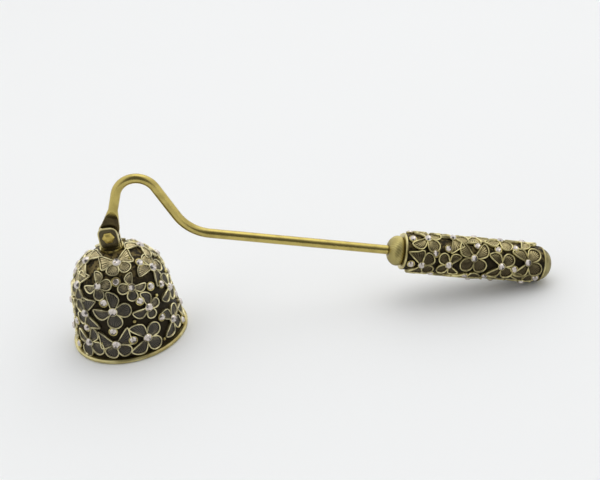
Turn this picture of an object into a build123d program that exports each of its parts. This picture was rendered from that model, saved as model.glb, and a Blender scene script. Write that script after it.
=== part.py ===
from build123d import *
import os
from math import atan2, cos, degrees, hypot, pi, radians, sin, sqrt, tan

# Candle snuffer with a hinged bell, a bent rod and a handle covered in butterflies.
# Millimetres. The origin is the centre of the bell's mouth on the table, +Z is up,
# the handle runs along +X and the object's plane of symmetry is Y = 0.

# Bell
seat_height = 33.5
dome_radius = 15.9
wall_flare = 8.0
bell_wall = 1.0
rim_radius = 20.0
rim_stand = 1.47
rim_height = 1.4
rim_floor = 0.5
rim_bevel = 0.4

# Hinge yoke on the crown of the bell, with the washer and nut that hold its threaded shank
yoke_foot_radius = 4.0
yoke_foot_thickness = 1.0
ear_thickness = 1.0
ear_width = 6.6
ear_rise = 3.7
ear_corner = 2.4
pin_rise = 4.9
shank_radius = 1.1
shank_end = 0.4
washer_radius = 3.4
washer_thickness = 0.6
nut_radius = 2.3
nut_height = 1.6
nut_sides = 6

# Hinge pin
pin_radius = 1.2
pin_head_radius = 2.2
pin_head_height = 0.9
pin_head_face = 1.5

# Rod
rod_radius = 1.6
lug_radius = 3.1
lug_thickness = 1.5
lug_parallel = 3.4
lug_flat = 6.8
lug_neck = 9.6
neck_lean = 19.5
drop_slope = 64.75
arch_bend = 7.0
bend_x = 26.3
bend_z = 36.25
lower_bend = 15.0

# Handle, with lengths along its axis from the rod's lower bend
handle_start = 68.7
ferrule_length = 4.8
ferrule_nose_radius = 2.6
ferrule_radius = 5.5
front_ring_radius = 6.4
ring_thickness = 0.8
ring_bevel = 0.2
sleeve_length = 49.1
sleeve_radius = 6.3
sleeve_wall = 0.9
bush_length = 5.0
rear_ring_radius = 6.2
cap_radius = 5.6
cap_length = 3.9
cap_bore_depth = 2.4

# Butterflies, stones and beads
large_forewing_length = 5.2
large_forewing_width = 3.6
large_hindwing_length = 4.0
large_hindwing_width = 3.1
small_forewing_length = 4.5
small_forewing_width = 3.2
small_hindwing_length = 3.6
small_hindwing_width = 2.8
forewing_angle = 50.0
hindwing_angle = 128.0
wing_root = 0.7
wing_thickness = 0.7
wing_border = 0.4
wing_dish = 0.35
wing_corners = 6
boss_radius = 1.45
boss_height = 1.1
stone_radius = 1.35
table_radius = 0.8
stone_height = 0.6
stone_sides = 8
cup_radius = 1.4
cup_height = 0.7
accent_radius = 1.15
bead_radius = 0.6
bead_top_radius = 0.3
bead_height = 0.6

# Fits
pin_clearance = 0.05
lug_clearance = 0.1
seat_clearance = 0.02
ornament_clearance = 0.03
ornament_gap = 0.12
turn_step = 15
search_step = 0.45
search_rings = 3
slope_tolerance = 1e-9

# Butterflies around the bell: azimuth, share of the way down from the seat to the rim, and turn
crown_places = (
    (-74, 0.139, 8), (-163, 0.150, -80), (106, 0.139, 12), (16, 0.139, 70),
)
shoulder_places = (
    (-109, 0.316, 40), (-65, 0.367, -4), (-21, 0.316, 75), (25, 0.337, -10),
    (70, 0.337, 58), (115, 0.337, -38), (160, 0.337, 80), (-145, 0.364, -85),
)
middle_places = (
    (-131, 0.575, -83), (-93, 0.539, 44), (-52, 0.586, 56), (-11, 0.571, 62),
    (28, 0.575, 44), (68, 0.575, 56), (108, 0.575, -83), (148, 0.575, 30),
    (-170, 0.575, 56),
)
mouth_places = (
    (-132, 0.856, 28), (-98, 0.856, 4), (-63, 0.856, 98), (-26, 0.837, 88),
    (10, 0.851, 35), (46, 0.851, 7), (82, 0.851, 98), (118, 0.851, 88),
    (154, 0.851, 35), (-170, 0.851, 7),
)

# Accent stones and beads around the bell: azimuth and share of the way down
bell_accent_places = (
    (-85, 0.285), (-36, 0.207), (-42, 0.432), (-64, 0.512), (-103, 0.454), (-97, 0.719),
    (-79, 0.840), (-41, 0.740), (-7, 0.951), (-25, 0.464), (-150, 0.713), (-126, 0.237),
    (4, 0.723), (48, 0.713), (92, 0.713), (130, 0.719), (170, 0.723), (48, 0.464),
    (92, 0.459), (136, 0.459), (178, 0.459), (60, 0.200), (150, 0.221), (-116, 0.723),
    (28, 0.951), (64, 0.951), (100, 0.951), (136, 0.951), (172, 0.951), (-45, 0.946),
    (-151, 0.951),
)
bell_bead_places = (
    (-45, 0.110), (-112, 0.142), (-72, 0.649), (-37, 0.539), (-116, 0.845), (-16, 0.708),
    (40, 0.120), (64, 0.697), (112, 0.702), (150, 0.697), (-152, 0.443), (2, 0.459),
    (70, 0.459), (114, 0.464), (156, 0.459), (136, 0.116),
)

# Butterflies along the handle: turn about the axis from the top, share of the sleeve, and spin
handle_places = (
    (102, 0.110, 40), (17, 0.134, -30), (192, 0.110, 35), (282, 0.110, 60),
    (94, 0.297, 180), (4, 0.318, 35), (184, 0.297, 5), (274, 0.297, 60),
    (67, 0.481, -90), (157, 0.489, 35), (247, 0.489, -20), (337, 0.501, 5),
    (82, 0.680, 30), (172, 0.680, 60), (262, 0.680, 35), (352, 0.688, -20),
    (64, 0.872, -20), (154, 0.868, 5), (244, 0.868, 60), (334, 0.872, 35),
)

# Accent stones along the handle: turn and share of the sleeve
handle_accent_places = (
    (21, 0.035), (143, 0.037), (46, 0.285), (133, 0.395), (27, 0.407), (26, 0.595),
    (110, 0.774), (140, 0.200), (230, 0.200), (320, 0.208), (225, 0.391), (300, 0.391),
    (122, 0.587), (210, 0.582), (300, 0.587), (206, 0.774), (296, 0.774), (20, 0.782),
    (60, 0.196), (236, 0.037), (330, 0.037), (110, 0.957), (290, 0.957),
)

# Sizes that follow from the ones above
wall_angle = radians(wall_flare)
wall_foot = Vector(rim_radius - rim_stand, 0, rim_floor)
up_the_wall = Vector(-sin(wall_angle), 0, cos(wall_angle))
into_the_bell = Vector(-cos(wall_angle), 0, -sin(wall_angle))
inner_radius = dome_radius - bell_wall

# The dome's arc touches the straight wall and ends at the edge of the flat seat
seat_edge = Vector(yoke_foot_radius, 0, seat_height)
seat_to_base = wall_foot + into_the_bell * dome_radius - seat_edge
climb = -seat_to_base.dot(up_the_wall)
wall_length = climb - sqrt(climb**2 - seat_to_base.length**2 + dome_radius**2)
shoulder = wall_foot + up_the_wall * wall_length
dome_middle = shoulder + into_the_bell * dome_radius
inner_shoulder = shoulder + into_the_bell * bell_wall
washer_seat = dome_middle.Z + sqrt(inner_radius**2 - (washer_radius - dome_middle.X) ** 2)
seat_tilt = atan2(yoke_foot_radius - dome_middle.X, seat_height - dome_middle.Z)
dome_arc = dome_radius * (pi / 2 - wall_angle - seat_tilt)
bell_reach = dome_arc + (shoulder.Z - rim_height) / cos(wall_angle)

# Sizes of the hinge, the rod's seats and the handle
foot_top = seat_height + yoke_foot_thickness
pin_height = seat_height + pin_rise
yoke_gap = lug_thickness + 2 * lug_clearance
yoke_width = yoke_gap + 2 * ear_thickness
shank_hole = shank_radius + seat_clearance
rod_bore = rod_radius + seat_clearance
sleeve_bore = sleeve_radius - sleeve_wall
on_boss = ornament_clearance + boss_height
on_cup = ornament_clearance + cup_height
bush_radius = sleeve_bore - seat_clearance
front_ring_start = handle_start + ferrule_length
sleeve_start = front_ring_start + ring_thickness
sleeve_end = sleeve_start + sleeve_length
cap_start = sleeve_end + ring_thickness
nut_seat = washer_seat - washer_thickness
neighbour_reach = large_forewing_length + ornament_gap


def wall_radius(height):
    """Outer radius of the bell's straight wall at a height above the table."""
    return shoulder.X + (shoulder.Z - height) * tan(wall_angle)


def inner_wall_radius(height):
    """Inner radius of the bell's straight wall at a height above the table."""
    return inner_shoulder.X + (inner_shoulder.Z - height) * tan(wall_angle)


def handle_section(along):
    """Plane across the handle at a distance along its axis."""
    return Plane((along, 0, 0), x_dir=(0, -1, 0), z_dir=(1, 0, 0))


def bell_plane(azimuth, arc, lift):
    """Plane on the bell, an arc down from the seat: x along the azimuth, y to the crown, z outward."""
    turn = radians(azimuth)
    if arc < dome_arc:
        tilt = seat_tilt + arc / dome_radius
        radius = dome_middle.X + dome_radius * sin(tilt)
        height = dome_middle.Z + dome_radius * cos(tilt)
    else:
        tilt = pi / 2 - wall_angle
        radius = shoulder.X + (arc - dome_arc) * sin(wall_angle)
        height = shoulder.Z - (arc - dome_arc) * cos(wall_angle)
    outward = Vector(cos(turn) * sin(tilt), sin(turn) * sin(tilt), cos(tilt))
    foot = Vector(cos(turn) * radius, sin(turn) * radius, height)
    return Plane(foot + outward * lift, x_dir=(-sin(turn), cos(turn), 0), z_dir=outward)


def bell_step(azimuth, arc, right, up):
    """Azimuth and arc of the place that lies right and up of a place on the bell."""
    radius = bell_plane(0, arc - up / 2, 0).origin.X
    return azimuth + degrees(right / radius), arc - up


def sleeve_plane(turn, along, lift):
    """Plane on the sleeve: x around the axis, y towards the rod, z outward; turn 0 is the top."""
    outward = Vector(0, -sin(radians(turn)), cos(radians(turn)))
    foot = Vector(along, 0, 0) + outward * (sleeve_radius + lift)
    return Plane(foot, x_dir=outward.cross(Vector(1, 0, 0)), z_dir=outward)


def sleeve_step(turn, along, right, up):
    """Turn and distance of the place that lies right and up of a place on the sleeve."""
    return turn - degrees(right / sleeve_radius), along - up


def wing_outline(length, width):
    """Corners of a drop-shaped wing about its middle, narrow at the root."""
    corners = []
    for corner in range(wing_corners):
        turn = 2 * pi * corner / wing_corners
        corners.append((-length / 2 * cos(turn), width * 2 / 3 * sin(turn) * sin(turn / 2)))
    return corners


def wing(length, width):
    """A drop-shaped wing with a raised border around a dished cell."""
    with BuildPart() as plate:
        with BuildSketch():
            Polygon(*wing_outline(length, width), align=None)
        extrude(amount=wing_thickness)
        with BuildSketch(Plane.XY.offset(wing_thickness)) as cell:
            Polygon(*wing_outline(length - 4 * wing_border, width - 2 * wing_border), align=None)
        dish_floor = Vertex(0, 0, wing_thickness - wing_dish)
        loft(sections=[cell.sketch, dish_floor], mode=Mode.SUBTRACT)
    return plate.part


def frustum(radius, top_radius, height):
    """A low frustum with as many sides as a stone."""
    slant = degrees(atan2((radius - top_radius) * cos(pi / stone_sides), height))
    with BuildPart() as block:
        with BuildSketch():
            RegularPolygon(radius, stone_sides)
        extrude(amount=height, taper=slant)
    return block.part


def sole(piece):
    """The face that a piece stands on."""
    return piece.faces().sort_by(Axis.Z)[0]


def wing_set(forewing_length, forewing_width, hindwing_length, hindwing_width):
    """The four wings of one size of butterfly, each with its length and its angle from the head."""
    forewing = wing(forewing_length, forewing_width)
    hindwing = wing(hindwing_length, hindwing_width)
    return (
        (forewing, forewing_length, forewing_angle),
        (forewing, forewing_length, -forewing_angle),
        (hindwing, hindwing_length, hindwing_angle),
        (hindwing, hindwing_length, -hindwing_angle),
    )


large_wings = wing_set(
    large_forewing_length, large_forewing_width, large_hindwing_length, large_hindwing_width
)
small_wings = wing_set(
    small_forewing_length, small_forewing_width, small_hindwing_length, small_hindwing_width
)
boss = frustum(boss_radius, boss_radius, boss_height)
stone = frustum(stone_radius, table_radius, stone_height)
cup = frustum(cup_radius, cup_radius, cup_height)
accent_stone = frustum(accent_radius, table_radius, stone_height)
bead = frustum(bead_radius, bead_top_radius, bead_height)


def butterfly(surface, step, wings, first, second, spin):
    """Boss and wings of one butterfly with their places, every wing flat on the surface at its middle."""
    centre = surface(first, second, ornament_clearance)
    pieces = [(boss, centre.location)]
    for plate, length, angle in wings:
        heading = radians(90 + spin + angle)
        reach = wing_root + length / 2
        place = step(first, second, reach * cos(heading), reach * sin(heading))
        tangent = surface(*place, ornament_clearance)
        away = tangent.origin - centre.origin
        level = away - tangent.z_dir * away.dot(tangent.z_dir)
        pieces.append((plate, Plane(tangent.origin, level, tangent.z_dir).location))
    return pieces


def clear_of(pieces, settled, fences):
    """True when the pieces keep the ornament gap from what is settled near them and from the fences."""
    for piece, place in pieces:
        tread = sole(piece).moved(place)
        near = [other for other, spot in settled if (place.position - spot).length < neighbour_reach]
        if any(tread.distance_to(other) < ornament_gap for other in near + fences):
            return False
    return True


def settle(surface, step, wings, places, settled, fences):
    """Butterflies at places on a surface, each turned until it clears the ones settled before it."""
    flock = []
    for first, second, spin in places:
        for turn in range(0, 360, turn_step):
            pieces = butterfly(surface, step, wings, first, second, spin + turn)
            if clear_of(pieces, settled, fences):
                settled.extend([(sole(piece).moved(place), place.position) for piece, place in pieces])
                flock.append(((first, second), [piece.moved(place) for piece, place in pieces]))
                break
    return flock


def near_places(step, place):
    """A place and the ones around it, the nearest first."""
    reach = range(-search_rings, search_rings + 1)
    offsets = sorted([(hypot(right, up), right, up) for right in reach for up in reach])
    return [step(*place, right * search_step, up * search_step) for gap, right, up in offsets]


def open_places(surface, step, piece, places, settled, fences):
    """Places near the given ones where a piece clears everything settled before it."""
    kept = []
    for wanted in places:
        for place in near_places(step, wanted):
            spot = surface(*place, ornament_clearance).location
            if clear_of([(piece, spot)], settled, fences):
                settled.append((sole(piece).moved(spot), spot.position))
                kept.append(place)
                break
    return kept


def flight(flock):
    """A group of butterflies."""
    with BuildPart() as group:
        add([piece for place, pieces in flock for piece in pieces])
    return group.part


def scatter(surface, piece, places, lift):
    """Copies of one piece at places on a surface, raised above it."""
    with BuildPart() as group:
        add([piece.moved(surface(*place, lift).location) for place in places])
    return group.part


def down_the_bell(places):
    """Places on the bell, with shares of the way down turned into distances from the seat."""
    return [(azimuth, bell_reach * share, *turn) for azimuth, share, *turn in places]


def along_the_sleeve(places):
    """Places on the handle, with shares of the sleeve turned into distances along the axis."""
    return [(turn, sleeve_start + sleeve_length * share, *spin) for turn, share, *spin in places]


def bell_butterflies(wings, places, fences):
    """Butterflies settled on the bell among the ones that are there already."""
    return settle(bell_plane, bell_step, wings, down_the_bell(places), on_bell, fences)


def bell_trim(piece, places, fences):
    """Places of cups or beads in the gaps that the butterflies leave on the bell."""
    return open_places(bell_plane, bell_step, piece, down_the_bell(places), on_bell, fences)


# Butterflies, cups and beads settled on the bell between the yoke's foot and the rim
on_bell = []
yoke_fence = [Edge.make_circle(yoke_foot_radius, Plane.XY.offset(seat_height))]
rim_fence = [Edge.make_circle(wall_radius(rim_height), Plane.XY.offset(rim_height))]
crown_flock = bell_butterflies(large_wings, crown_places, yoke_fence)
shoulder_flock = bell_butterflies(small_wings, shoulder_places, [])
middle_flock = bell_butterflies(large_wings, middle_places, [])
mouth_flock = bell_butterflies(large_wings, mouth_places, rim_fence)
bell_flock = crown_flock + shoulder_flock + middle_flock + mouth_flock
bell_cups = bell_trim(cup, bell_accent_places, rim_fence)
bell_grains = bell_trim(bead, bell_bead_places, yoke_fence)

# Butterflies and cups settled on the handle between its rings
on_sleeve = []
sleeve_fences = [
    Edge.make_circle(sleeve_radius, handle_section(sleeve_start)),
    Edge.make_circle(sleeve_radius, handle_section(sleeve_end)),
]
handle_flock = settle(
    sleeve_plane, sleeve_step, small_wings, along_the_sleeve(handle_places), on_sleeve, sleeve_fences
)
handle_cups = open_places(
    sleeve_plane, sleeve_step, cup, along_the_sleeve(handle_accent_places), on_sleeve, sleeve_fences
)
handle_butterfly_group = flight(handle_flock)
handle_stone_group = scatter(sleeve_plane, stone, [place for place, pieces in handle_flock], on_boss)


def lowest_point(slope, corners):
    """Height above the table of the handle's lowest corner or ring edge when it has this slope."""
    ring_edge = (cap_start - ring_bevel) * sin(slope) + rear_ring_radius * cos(slope)
    return bend_z + min([z * cos(slope) - along * sin(slope) for along, z in corners] + [-ring_edge])


def resting_slope(corners):
    """Slope of the handle, in radians, at which its far end rests on the table."""
    shallow = 0.0
    steep = pi / 4
    while steep - shallow > slope_tolerance:
        middle = (shallow + steep) / 2
        if lowest_point(middle, corners) > 0:
            shallow = middle
        else:
            steep = middle
    return shallow


# The rod's corners, and the planes and axes that the pieces are drawn on
ornament_corners = handle_butterfly_group.vertices() + handle_stone_group.vertices()
handle_slope = resting_slope([(corner.X, corner.Z) for corner in ornament_corners])
pin_point = Vector(0, 0, pin_height)
bend_corner = Vector(bend_x, 0, bend_z)
neck_direction = Vector(sin(radians(neck_lean)), 0, cos(radians(neck_lean)))
drop_direction = Vector(cos(radians(drop_slope)), 0, -sin(radians(drop_slope)))
handle_direction = Vector(cos(handle_slope), 0, -sin(handle_slope))
handle_upward = Vector(sin(handle_slope), 0, cos(handle_slope))
handle_place = Plane(bend_corner, x_dir=handle_direction, z_dir=handle_upward).location
neck_rise = (bend_corner - pin_point).cross(drop_direction).Y / neck_direction.cross(drop_direction).Y
arch_corner = pin_point + neck_direction * neck_rise
neck_start = pin_point + neck_direction * lug_neck
tang_tip = bend_corner + handle_direction * (cap_start + cap_bore_depth)
neck_front = Plane(pin_point, x_dir=neck_direction.cross(Vector(0, -1, 0)), z_dir=(0, -1, 0))
neck_side = Plane(pin_point, x_dir=(0, 1, 0), z_dir=Vector(0, 1, 0).cross(neck_direction))
hinge_plane = Plane(pin_point, x_dir=(1, 0, 0), z_dir=(0, -1, 0))
neck_axis = Axis(pin_point, neck_direction)

# Bell shell: a straight flared wall that runs into a spherical dome with a flat seat on top
with BuildPart() as bell_shell:
    with BuildSketch(Plane.XZ):
        with BuildLine():
            outside = Line((wall_foot.X, rim_floor), (shoulder.X, shoulder.Z))
            RadiusArc(outside @ 1, (yoke_foot_radius, seat_height), -dome_radius)
            seat = Line((yoke_foot_radius, seat_height), (shank_hole, seat_height))
            hole = Line(seat @ 1, (shank_hole, washer_seat))
            flat = Line(hole @ 1, (washer_radius, washer_seat))
            dome = RadiusArc(flat @ 1, (inner_shoulder.X, inner_shoulder.Z), inner_radius)
            inside = Line(dome @ 1, (inner_wall_radius(rim_floor), rim_floor))
            Line(inside @ 1, outside @ 0)
        make_face()
    revolve(axis=Axis.Z)

# Bell rim: a soldered band that the shell's foot stands in
with BuildPart() as bell_rim:
    with BuildSketch(Plane.XZ):
        with BuildLine():
            Polyline(
                (inner_wall_radius(rim_floor), 0),
                (rim_radius - rim_bevel, 0),
                (rim_radius, rim_bevel),
                (rim_radius, rim_height - rim_bevel),
                (rim_radius - rim_bevel, rim_height),
                (wall_radius(rim_height) + seat_clearance, rim_height),
                (wall_foot.X + seat_clearance, rim_floor),
                (inner_wall_radius(rim_floor), rim_floor),
                close=True,
            )
        make_face()
    revolve(axis=Axis.Z)

# Bell yoke: a round foot with two ears for the hinge pin and a threaded shank below
with BuildPart() as bell_yoke:
    with BuildSketch(Plane.XY.offset(seat_height)):
        Circle(yoke_foot_radius)
    extrude(amount=yoke_foot_thickness)
    with BuildSketch(Plane.XY.offset(nut_seat - nut_height - shank_end)):
        Circle(shank_radius)
    extrude(until=Until.NEXT)
    with BuildSketch(Plane.XZ.offset(yoke_gap / 2)) as ear:
        with Locations((0, foot_top - yoke_foot_thickness / 2)):
            Rectangle(
                ear_width,
                pin_height + ear_rise - foot_top + yoke_foot_thickness / 2,
                align=(Align.CENTER, Align.MIN),
            )
        fillet(ear.vertices().group_by(Axis.Y)[-1], ear_corner)
        with Locations((0, pin_height)):
            Circle(pin_radius + seat_clearance, mode=Mode.SUBTRACT)
    extrude(amount=ear_thickness)
    mirror(about=Plane.XZ)

# Washer and hexagon nut on the shank inside the bell
with BuildPart() as yoke_washer:
    with BuildSketch(Plane.XY.offset(washer_seat)):
        Circle(washer_radius)
        Circle(shank_hole, mode=Mode.SUBTRACT)
    extrude(amount=-washer_thickness)

with BuildPart() as yoke_nut:
    with BuildSketch(Plane.XY.offset(nut_seat)):
        RegularPolygon(nut_radius, nut_sides)
        Circle(shank_hole, mode=Mode.SUBTRACT)
    extrude(amount=-nut_height)

# Hinge pin: a rivet with a bevelled head outside each ear
with BuildPart() as hinge_pin:
    with BuildSketch(hinge_plane.offset(-yoke_width / 2)):
        Circle(pin_radius)
    extrude(amount=yoke_width)
    with BuildSketch(hinge_plane.offset(yoke_width / 2)):
        Circle(pin_head_radius)
    with BuildSketch(hinge_plane.offset(yoke_width / 2 + pin_head_height)):
        Circle(pin_head_face)
    loft()
    mirror(about=Plane.XZ)

# Rod: its end flares out and is flattened into the lug that turns on the hinge pin
with BuildPart() as rod_lug:
    with BuildSketch(neck_front):
        with BuildLine():
            end = RadiusArc((0, -lug_radius), (lug_radius, 0), -lug_radius)
            side = Line(end @ 1, (lug_radius, lug_parallel))
            taper = Line(side @ 1, (rod_radius, lug_neck))
            Polyline(taper @ 1, (0, lug_neck), end @ 0)
        make_face()
    revolve(axis=neck_axis)
    with BuildSketch(neck_side):
        with BuildLine():
            Polyline(
                (-lug_thickness / 2, -lug_radius),
                (lug_thickness / 2, -lug_radius),
                (lug_thickness / 2, lug_flat),
                (rod_radius, lug_neck),
                (-rod_radius, lug_neck),
                (-lug_thickness / 2, lug_flat),
                close=True,
            )
        make_face()
    extrude(amount=lug_radius, both=True, mode=Mode.INTERSECT)
    with BuildSketch(hinge_plane):
        Circle(pin_radius + pin_clearance)
    extrude(amount=lug_thickness, both=True, mode=Mode.SUBTRACT)

with BuildPart() as rod:
    with BuildLine():
        FilletPolyline(
            neck_start, arch_corner, bend_corner, tang_tip, radius=(arch_bend, lower_bend)
        )
    with BuildSketch(Plane(neck_start, z_dir=neck_direction)):
        Circle(rod_radius)
    sweep()
    add(rod_lug.part)

# Handle ferrule: a ball that swells from the rod to the front ring
with BuildPart() as handle_ferrule:
    with BuildSketch(Plane.XZ):
        with BuildLine():
            ring_corner = (front_ring_start, ferrule_radius)
            ball = TangentArc(ring_corner, (handle_start, ferrule_nose_radius), tangent=(-1, 0))
            Polyline(ball @ 1, (handle_start, rod_bore), (front_ring_start, rod_bore), ball @ 0)
        make_face()
    revolve(axis=Axis.X)


def handle_ring(start, length, radius, bore, bevel):
    """A ring or tube about the handle's axis with bevelled outer edges."""
    with BuildPart() as ring:
        with BuildSketch(Plane.XZ):
            with BuildLine():
                Polyline(
                    (start, bore),
                    (start, radius - bevel),
                    (start + bevel, radius),
                    (start + length - bevel, radius),
                    (start + length, radius - bevel),
                    (start + length, bore),
                    close=True,
                )
            make_face()
        revolve(axis=Axis.X)
    return ring


handle_front_ring = handle_ring(front_ring_start, ring_thickness, front_ring_radius, rod_bore, ring_bevel)
handle_rear_ring = handle_ring(sleeve_end, ring_thickness, rear_ring_radius, rod_bore, ring_bevel)
handle_front_bush = handle_ring(sleeve_start, bush_length, bush_radius, rod_bore, ring_bevel)
handle_rear_bush = handle_ring(sleeve_end - bush_length, bush_length, bush_radius, rod_bore, ring_bevel)

with BuildPart() as handle_sleeve:
    with BuildSketch(Plane.XZ):
        with Locations((sleeve_start, sleeve_bore)):
            Rectangle(sleeve_length, sleeve_wall, align=(Align.MIN, Align.MIN))
    revolve(axis=Axis.X)

# Handle end cap: a low dome with a blind bore that the end of the rod screws into
with BuildPart() as handle_end_cap:
    with BuildSketch(Plane.XZ):
        with BuildLine():
            cap_dome = EllipticalCenterArc((cap_start, 0), cap_length, cap_radius, 0, arc_size=90)
            Polyline(
                cap_dome @ 1,
                (cap_start, rod_bore),
                (cap_start + cap_bore_depth, rod_bore),
                (cap_start + cap_bore_depth, 0),
                cap_dome @ 0,
            )
        make_face()
    revolve(axis=Axis.X)


bell_parts = {
    "bell_shell": bell_shell.part,
    "bell_rim": bell_rim.part,
    "bell_yoke": bell_yoke.part,
    "yoke_washer": yoke_washer.part,
    "yoke_nut": yoke_nut.part,
    "hinge_pin": hinge_pin.part,
    "bell_crown_butterflies": flight(crown_flock),
    "bell_shoulder_butterflies": flight(shoulder_flock),
    "bell_middle_butterflies": flight(middle_flock),
    "bell_mouth_butterflies": flight(mouth_flock),
    "bell_butterfly_stones": scatter(bell_plane, stone, [place for place, pieces in bell_flock], on_boss),
    "bell_stone_cups": scatter(bell_plane, cup, bell_cups, ornament_clearance),
    "bell_accent_stones": scatter(bell_plane, accent_stone, bell_cups, on_cup),
    "bell_beads": scatter(bell_plane, bead, bell_grains, ornament_clearance),
}
handle_parts = {
    "handle_ferrule": handle_ferrule.part,
    "handle_front_ring": handle_front_ring.part,
    "handle_front_bush": handle_front_bush.part,
    "handle_sleeve": handle_sleeve.part,
    "handle_rear_bush": handle_rear_bush.part,
    "handle_rear_ring": handle_rear_ring.part,
    "handle_end_cap": handle_end_cap.part,
    "handle_butterflies": handle_butterfly_group,
    "handle_butterfly_stones": handle_stone_group,
    "handle_stone_cups": scatter(sleeve_plane, cup, handle_cups, ornament_clearance),
    "handle_accent_stones": scatter(sleeve_plane, accent_stone, handle_cups, on_cup),
}
parts = {"rod": rod.part, **bell_parts}
for name, piece in handle_parts.items():
    parts[name] = piece.moved(handle_place)

os.makedirs("parts", exist_ok=True)
for name, piece in parts.items():
    piece.label = name
    export_step(piece, f"parts/{name}.step")
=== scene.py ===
from math import cos, pi, radians, sin, sqrt

import bpy
import numpy as np
from mathutils import Matrix, Vector


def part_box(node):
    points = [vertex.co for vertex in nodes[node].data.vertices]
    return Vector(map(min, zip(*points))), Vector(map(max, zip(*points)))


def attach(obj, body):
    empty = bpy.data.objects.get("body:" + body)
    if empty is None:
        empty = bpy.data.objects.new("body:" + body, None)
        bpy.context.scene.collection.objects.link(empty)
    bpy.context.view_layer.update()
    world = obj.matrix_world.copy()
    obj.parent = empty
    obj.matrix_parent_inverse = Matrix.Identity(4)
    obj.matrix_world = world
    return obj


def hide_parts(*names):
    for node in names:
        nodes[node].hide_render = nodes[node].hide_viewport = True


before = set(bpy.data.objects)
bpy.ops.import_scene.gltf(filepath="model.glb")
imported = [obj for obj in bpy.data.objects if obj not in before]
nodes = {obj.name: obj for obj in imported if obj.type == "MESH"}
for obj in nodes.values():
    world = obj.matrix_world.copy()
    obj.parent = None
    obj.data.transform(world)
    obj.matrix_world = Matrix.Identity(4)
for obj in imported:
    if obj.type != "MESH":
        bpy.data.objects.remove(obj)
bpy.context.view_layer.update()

MM = 0.001
TINY = 1e-6

# Surfaces of the bell and the handle, in millimetres, as the solids have them
SEAT_HEIGHT = 33.5
SEAT_RADIUS = 4.0
DOME_RADIUS = 15.9
FLARE = radians(8.0)
SLEEVE_RADIUS = 6.3
RING_WIDTH = 0.8
DOME_CENTRE = SEAT_HEIGHT - sqrt(DOME_RADIUS**2 - SEAT_RADIUS**2)
DOME_ARC = DOME_RADIUS * (pi / 2 - FLARE)
SHOULDER_RADIUS = DOME_RADIUS * cos(FLARE)
SHOULDER_HEIGHT = DOME_CENTRE + DOME_RADIUS * sin(FLARE)

# Height above the sleeve at which ornaments bent around it keep their width
BEND_HEIGHT = 0.4


def middle(node):
    """Centre of a node's box in millimetres."""
    low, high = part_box(node)
    return np.array((low + high) / 2) / MM


front_ring = middle("handle_front_ring")
rear_ring = middle("handle_rear_ring")
AXIS = (rear_ring - front_ring) / np.linalg.norm(rear_ring - front_ring)
UPWARD = np.array((-AXIS[2], 0.0, AXIS[0]))
ACROSS = np.array((0.0, 1.0, 0.0))
SLEEVE_START = front_ring + AXIS * RING_WIDTH / 2


def bell_frame(azimuth, arc):
    """Point on the bell, at a distance over its surface from the crown, with its right and up."""
    turn = radians(azimuth)
    if arc < DOME_ARC:
        tilt = arc / DOME_RADIUS
        radius = DOME_RADIUS * sin(tilt)
        height = DOME_CENTRE + DOME_RADIUS * cos(tilt)
    else:
        tilt = pi / 2 - FLARE
        radius = SHOULDER_RADIUS + (arc - DOME_ARC) * sin(FLARE)
        height = SHOULDER_HEIGHT - (arc - DOME_ARC) * cos(FLARE)
    out = np.array((cos(turn) * sin(tilt), sin(turn) * sin(tilt), cos(tilt)))
    right = np.array((-sin(turn), cos(turn), 0.0))
    centre = np.array((cos(turn) * radius, sin(turn) * radius, height))
    return centre, right, np.cross(out, right)


def on_bell(azimuth, arc):
    """Function that lays flat points (right, up, height) on the bell around a place."""
    centre, right, up = bell_frame(azimuth, arc)

    def lay(points):
        flat = centre + points[:, :1] * right + points[:, 1:2] * up
        radius = np.hypot(flat[:, 0], flat[:, 1])
        tilt = np.arctan2(radius, flat[:, 2] - DOME_CENTRE)
        slide = (radius - SHOULDER_RADIUS) * sin(FLARE) + (SHOULDER_HEIGHT - flat[:, 2]) * cos(FLARE)
        dome = tilt < pi / 2 - FLARE
        tilt = np.where(dome, tilt, pi / 2 - FLARE)
        dome_level = DOME_CENTRE + DOME_RADIUS * np.cos(tilt)
        wall_level = SHOULDER_HEIGHT - slide * cos(FLARE)
        level = np.where(dome, dome_level, wall_level)
        ring = np.where(dome, DOME_RADIUS * np.sin(tilt), SHOULDER_RADIUS + slide * sin(FLARE))
        side = flat[:, :2] / np.maximum(radius, TINY)[:, None]
        normal = np.column_stack((side * np.sin(tilt)[:, None], np.cos(tilt)))
        return np.column_stack((side * ring[:, None], level)) + normal * points[:, 2:3]

    return lay


def around_handle(turn):
    """Outward directions on the handle, turned from its top."""
    return np.cos(turn)[:, None] * UPWARD - np.sin(turn)[:, None] * ACROSS


def on_sleeve(turn, along):
    """Function that lays flat points (right, up, height) on the handle around a place."""

    def lay(points):
        out = around_handle(radians(turn) - points[:, 0] / (SLEEVE_RADIUS + BEND_HEIGHT))
        return SLEEVE_START + (along - points[:, 1:2]) * AXIS + out * (SLEEVE_RADIUS + points[:, 2:3])

    return lay


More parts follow.
